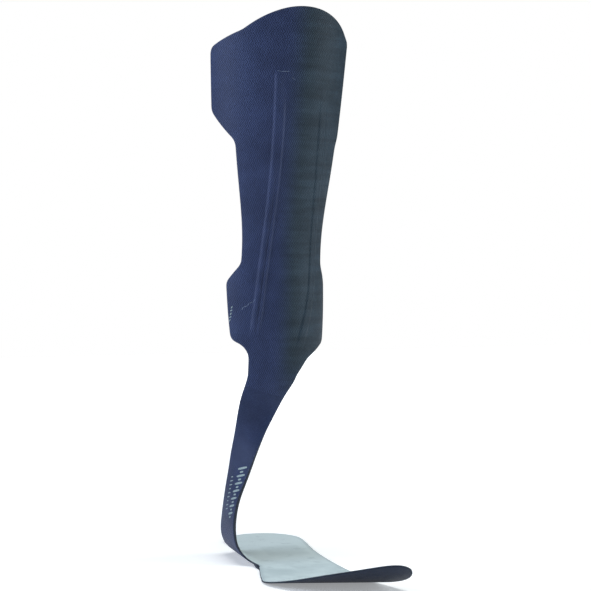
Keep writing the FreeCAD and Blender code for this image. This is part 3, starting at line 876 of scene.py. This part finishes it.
def woven_skin():
    """Satin navy carbon weave: herringbone on the shell, finer twill below the ply step, with painted light
    that makes the lateral side bluer and brighter than the front and medial side.
    """
    n = Nodes("woven_skin")
    vector, across, run = n.sheet()
    wobble = n.noise(vector, 0.35, 2.0)
    coarse = herringbone(n, across, run, wobble)
    fine = twill(n, across, run, FINE_PITCH)
    speckle = n.noise(vector, 2.4, 3.0, 0.7)
    cloud = n.noise(vector, 0.045, 3.0)
    streak = n.noise(n.put("ShaderNodeMapping", (vector, None, None, (0.10, 1.0, 1.0))).outputs[0], 0.16, 3.0)
    step_line = n.math("ADD", run, n.math("MULTIPLY", n.math("SUBTRACT", across, FRONT_LINE), 0.32))
    on_shell = n.between(step_line, PLY_STEP - 9.6, PLY_STEP - 8.4)
    weave = n.math("ADD", n.math("MULTIPLY", coarse, on_shell),
                   n.math("MULTIPLY", fine, n.math("SUBTRACT", 0.75, n.math("MULTIPLY", on_shell, 0.75))))
    # Painted light: the lateral side and the strut get a bluer, brighter weave, as if lit by the bluish left
    # lamp, and the front and medial side a greener, darker one, as if lit by the right lamp. The base colours
    # and the fleck colours both follow this mask.
    side = n.between(across, FRONT_LINE - 12, FRONT_LINE + 6)
    side = n.math("MULTIPLY", side, n.between(run, 105, 150))
    low = n.mix(side, (0.0022, 0.0038, 0.0125), (0.0025, 0.0048, 0.0085))
    high = n.mix(side, (0.042, 0.062, 0.150), (0.034, 0.056, 0.080))
    share = n.math("MULTIPLY_ADD", weave, 0.62, n.math("MULTIPLY", speckle, 0.38))
    colour = n.mix(share, low, high)
    fleck = n.between(n.noise(vector, 3.2, 2.0, 0.6), 0.60, 0.70)
    amount = n.math("MULTIPLY", fleck, 0.7)
    bright = n.mix(side, (0.085, 0.115, 0.210), (0.080, 0.125, 0.150))
    colour = n.mix(amount, colour, bright)
    shade = n.between(cloud, 0.3, 0.7, 0.86, 1.12)
    banding = n.math("MULTIPLY_ADD", n.between(streak, 0.35, 0.65, -0.17, 0.17), side, 1.0)
    shade = n.math("MULTIPLY", shade, banding)
    tone = n.put("ShaderNodeVectorMath", (colour,), operation="SCALE")
    n.give(tone.inputs["Scale"], shade)
    wear = n.between(n.attribute("edge"), 0.2, 1.4, 1.0, 0.0)
    worn = n.math("MULTIPLY", wear, n.between(n.noise(vector, 0.5, 4.0), 0.45, 0.62))
    colour = n.mix(n.math("MULTIPLY", worn, 0.35), tone.outputs[0], (0.085, 0.10, 0.125))
    rough = n.math("MULTIPLY_ADD", weave, -0.10, n.between(speckle, 0.3, 0.7, 0.50, 0.62))
    height = n.math("ADD", n.math("MULTIPLY", weave, 0.5), n.math("MULTIPLY", speckle, 0.35))
    height = n.math("ADD", height, n.math("MULTIPLY", on_shell, 1.6))
    n.bump(height, 0.00012)
    n.finish(colour, rough)
    set_sockets(n.material, {"Coat Weight": 0.03, "Coat Roughness": 0.35, "Specular IOR Level": 0.10})
    return n.material


def sole_skin():
    """The underside's plain navy twill, scuffed where it rests on the shoe."""
    n = Nodes("sole_twill")
    vector, across, run = n.sheet()
    lines = twill(n, across, run, 1.7)
    speckle = n.noise(vector, 2.2, 3.0, 0.7)
    scuff = n.between(n.noise(vector, 0.09, 5.0, 0.65), 0.55, 0.72)
    share = n.math("MULTIPLY_ADD", lines, 0.6, n.math("MULTIPLY", speckle, 0.35))
    colour = n.mix(share, (0.0025, 0.0055, 0.0150), (0.011, 0.021, 0.048))
    colour = n.mix(n.math("MULTIPLY", scuff, 0.20), colour, (0.030, 0.037, 0.048))
    rough = n.math("ADD", n.between(speckle, 0.3, 0.7, 0.42, 0.58), n.math("MULTIPLY", scuff, 0.12))
    n.bump(n.math("ADD", n.math("MULTIPLY", lines, 0.7), n.math("MULTIPLY", speckle, 0.3)), 0.00010)
    n.finish(colour, rough)
    set_sockets(n.material, {"Specular IOR Level": 0.12})
    return n.material


def faded_ink():
    """Pale print, worn thin in places."""
    n = Nodes("faded_ink")
    vector = n.sheet()[0]
    worn = n.between(n.noise(vector, 1.5, 4.0, 0.7), 0.42, 0.60, 0.0, 0.55)
    colour = n.mix(worn, (0.245, 0.315, 0.325), (0.085, 0.115, 0.145))
    n.bump(n.noise(vector, 3.0), 0.00003)
    n.finish(colour, n.between(n.noise(vector, 2.0), 0.3, 0.7, 0.55, 0.7))
    set_sockets(n.material, {"Specular IOR Level": 0.3})
    return n.material


def yarn_look():
    """The bluish sheen of a stray yarn."""
    n = Nodes("stray_yarn")
    vector, across, run = n.sheet()
    strands = twill(n, across, run, 0.3)
    colour = n.mix(strands, (0.050, 0.072, 0.125), (0.110, 0.150, 0.240))
    n.bump(strands, 0.00004)
    n.finish(colour, n.between(n.noise(vector, 2.0), 0.3, 0.7, 0.4, 0.55))
    set_sockets(n.material, {"Specular IOR Level": 0.4})
    return n.material


def laminate_edge():
    """The sanded edge: dark plies seen end on."""
    n = Nodes("sanded_laminate_edge")
    vector = n.sheet()[0]
    depth = n.attribute("depth")
    grain = n.noise(vector, 1.6, 4.0, 0.6)
    phase = n.math("ADD", n.math("DIVIDE", depth, 0.34), n.math("MULTIPLY", grain, 0.5))
    plies = n.math("MULTIPLY_ADD", n.math("SINE", n.math("MULTIPLY", phase, TAU)), 0.5, 0.5)
    colour = n.mix(plies, (0.006, 0.009, 0.017), (0.020, 0.027, 0.044))
    colour = n.mix(n.between(grain, 0.55, 0.75, 0.0, 0.4), colour, (0.045, 0.055, 0.075))
    n.bump(n.math("ADD", n.math("MULTIPLY", plies, 0.5), grain), 0.00006)
    n.finish(colour, n.between(grain, 0.3, 0.7, 0.48, 0.66))
    set_sockets(n.material, {"Specular IOR Level": 0.35})
    return n.material


def lining_skin():
    """The inside: herringbone cloth with a peel-ply grain."""
    n = Nodes("lining_weave")
    vector, across, run = n.sheet()
    wobble = n.noise(vector, 0.35, 2.0)
    weave = herringbone(n, across, run, wobble)
    speckle = n.noise(vector, 2.8, 3.0, 0.7)
    cloud = n.between(n.noise(vector, 0.04, 3.0), 0.3, 0.7, 0.8, 1.2)
    share = n.math("MULTIPLY_ADD", weave, 0.55, n.math("MULTIPLY", speckle, 0.4))
    colour = n.mix(share, (0.007, 0.010, 0.020), (0.056, 0.072, 0.115))
    tone = n.put("ShaderNodeVectorMath", (colour,), operation="SCALE")
    n.give(tone.inputs["Scale"], cloud)
    n.bump(n.math("ADD", n.math("MULTIPLY", weave, 0.4), n.math("MULTIPLY", speckle, 0.6)), 0.00010)
    n.finish(tone.outputs[0], n.between(speckle, 0.3, 0.7, 0.52, 0.68))
    set_sockets(n.material, {"Specular IOR Level": 0.35, "Sheen Weight": 0.08, "Sheen Roughness": 0.5})
    return n.material


def pale_cover():
    """The pale grey-green top cover: fine felted grain, handling smudges, painted light towards the heel and
    painted shade along its rim.
    """
    n = Nodes("pale_cover")
    vector, across, run = n.sheet()
    grain = n.noise(vector, 1.1, 5.0, 0.7)
    fibres = n.noise(n.put("ShaderNodeMapping", (vector, None, None, (1.0, 0.28, 1.0))).outputs[0], 2.6, 3.0)
    cloud = n.noise(vector, 0.030, 4.0, 0.6)
    smudge = n.noise(vector, 0.075, 5.0, 0.65)
    colour = n.mix(n.between(cloud, 0.32, 0.68), (0.385, 0.475, 0.490), (0.530, 0.625, 0.635))
    # Painted light: the cover grows lighter towards the heel.
    colour = n.mix(n.between(across, 150, 100, 0.0, 0.75), colour, (0.560, 0.650, 0.655))
    colour = n.mix(n.between(smudge, 0.54, 0.70, 0.0, 0.55), colour, (0.335, 0.420, 0.440))
    colour = n.mix(n.between(grain, 0.35, 0.70, 0.0, 0.22), colour, (0.600, 0.680, 0.680))
    heel_band = n.math("MULTIPLY", n.between(across, 52, 64), n.between(across, 104, 92))
    width_band = n.math("MULTIPLY", n.between(run, -22, -26), n.between(run, -56, -52))
    press = n.math("MULTIPLY", heel_band, width_band)
    colour = n.mix(n.math("MULTIPLY", press, 0.20), colour, (0.300, 0.385, 0.420))
    # Painted shade: the cover darkens within 4 mm of its edges.
    painted_rim_shade = n.between(n.attribute("edge"), 0.4, 4.0, 0.45, 0.0)
    colour = n.mix(painted_rim_shade, colour, (0.270, 0.335, 0.360))
    rough = n.between(grain, 0.3, 0.7, 0.62, 0.80)
    n.bump(n.math("ADD", n.math("MULTIPLY", grain, 0.6), n.math("MULTIPLY", fibres, 0.5)), 0.00010)
    n.finish(colour, rough)
    set_sockets(n.material, {"Specular IOR Level": 0.3, "Sheen Weight": 0.15, "Sheen Roughness": 0.6})
    return n.material


def floor_paper():
    """Plain pale studio paper that glows a little, and more so far away."""
    n = Nodes("pale_floor")
    place = n.put("ShaderNodeTexCoord").outputs["Object"]
    grain = n.noise(place, 40.0, 3.0)
    distance = n.put("ShaderNodeVectorMath", (place,), operation="LENGTH").outputs["Value"]
    far = n.between(distance, 0.25, 1.2)
    n.give(n.shader.inputs["Emission Color"], n.mix(far, (0.28, 0.285, 0.29), (0.95, 0.965, 0.98)))
    n.finish(n.mix(grain, (0.86, 0.86, 0.86), (0.89, 0.89, 0.89)), 0.9)
    set_sockets(n.material, {"Specular IOR Level": 0.1, "Emission Strength": 1.0})
    return n.material


navy = woven_skin()
twill_navy = sole_skin()
dark = laminate_edge()
inside_look = lining_skin()
pale = pale_cover()

for piece, ends, nodes, look, slot_name in (
    (outer_skin, "ankle", ("shell_outer_skin", "upper_strut_outer_skin", "strut_flexure_outer_skin",
                           "lower_strut_outer_skin"), navy, "woven_skin"),
    (core, "ankle", ("shell_laminate", "lateral_rib_core", "medial_rib_core", "upper_strut_laminate",
                     "strut_flexure_laminate", "lower_strut_laminate"), dark, "spring_laminate"),
    (lining, "ankle", ("shell_inner_skin", "upper_strut_inner_skin", "strut_flexure_inner_skin",
                       "lower_strut_inner_skin"), inside_look, "lining_skin"),
    (sole, "toes", ("rear_sole_skin", "forefoot_sole_skin"), twill_navy, "woven_skin"),
    (plate, "toes", ("rear_plate_laminate", "forefoot_plate_laminate"), dark, "spring_laminate"),
    (cover, "toes", ("rear_top_cover", "forefoot_top_cover"), pale, "top_cover"),
):
    piece.data.materials.append(look)
    if ends == "ankle":
        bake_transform(piece)
    else:
        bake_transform(piece)
    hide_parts(*nodes)

for piece, look in ((print_marks, faded_ink()), (yarns, yarn_look())):
    piece.data.materials.append(look)
    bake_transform(piece)

# --- Floor, light and camera --------------------------------------------------------------------

def make_floor():
    """A plain pale floor just under the sole."""
    mesh = bpy.data.meshes.new("floor")
    reach = 1.6
    mesh.from_pydata([(-reach, -reach, -0.0002), (reach, -reach, -0.0002), (reach, reach, -0.0002),
                      (-reach, reach, -0.0002)], [], [(0, 1, 2, 3)])
    floor = bpy.data.objects.new("floor", mesh)
    bpy.context.scene.collection.objects.link(floor)
    floor.data.materials.append(floor_paper())


def area_light(name, place, target, width, power, colour):
    """A soft square light that faces a target."""
    lamp = bpy.data.lights.new(name, "AREA")
    lamp.size = width
    lamp.energy = power
    lamp.color = colour
    light = bpy.data.objects.new(name, lamp)
    light.location = place
    light.rotation_euler = (Vector(target) - Vector(place)).to_track_quat("-Z", "Y").to_euler()
    bpy.context.scene.collection.objects.link(light)


def make_camera():
    """The camera at the photograph's viewing angle."""
    lens = bpy.data.cameras.new("camera")
    lens.sensor_width = 36.0
    lens.lens = 132.3
    camera = bpy.data.objects.new("camera", lens)
    camera.location = (-0.4033, -1.6003, 0.290)
    look = Vector((0.25833, 0.96411, -0.06122))
    camera.rotation_euler = look.to_track_quat("-Z", "Y").to_euler()
    bpy.context.scene.collection.objects.link(camera)
    bpy.context.scene.camera = camera


def make_world():
    """A plain white surround, which diffuse and glossy rays don't see."""
    world = bpy.data.worlds.new("surround")
    world.use_nodes = True
    world.node_tree.nodes["Background"].inputs["Color"].default_value = (1, 1, 1, 1)
    world.node_tree.nodes["Background"].inputs["Strength"].default_value = 1.0
    world.cycles_visibility.diffuse = False
    world.cycles_visibility.glossy = False
    bpy.context.scene.world = world


make_floor()
make_world()
make_camera()
TARGET = (0, -0.06, 0.2)
area_light("left_light", (-2.4, -0.25, 0.9), TARGET, 1.9, 68, (0.78, 0.87, 1.0))
area_light("right_light", (2.4, -0.6, 0.9), TARGET, 1.5, 44, (0.87, 0.96, 1.0))
area_light("top_light", (0.1, -0.4, 2.3), TARGET, 1.6, 36, (0.97, 1.0, 1.0))
area_light("front_light", (-0.5, -2.6, 0.7), TARGET, 1.2, 4, (0.9, 0.95, 1.0))
bpy.context.scene.view_settings.view_transform = "Standard"
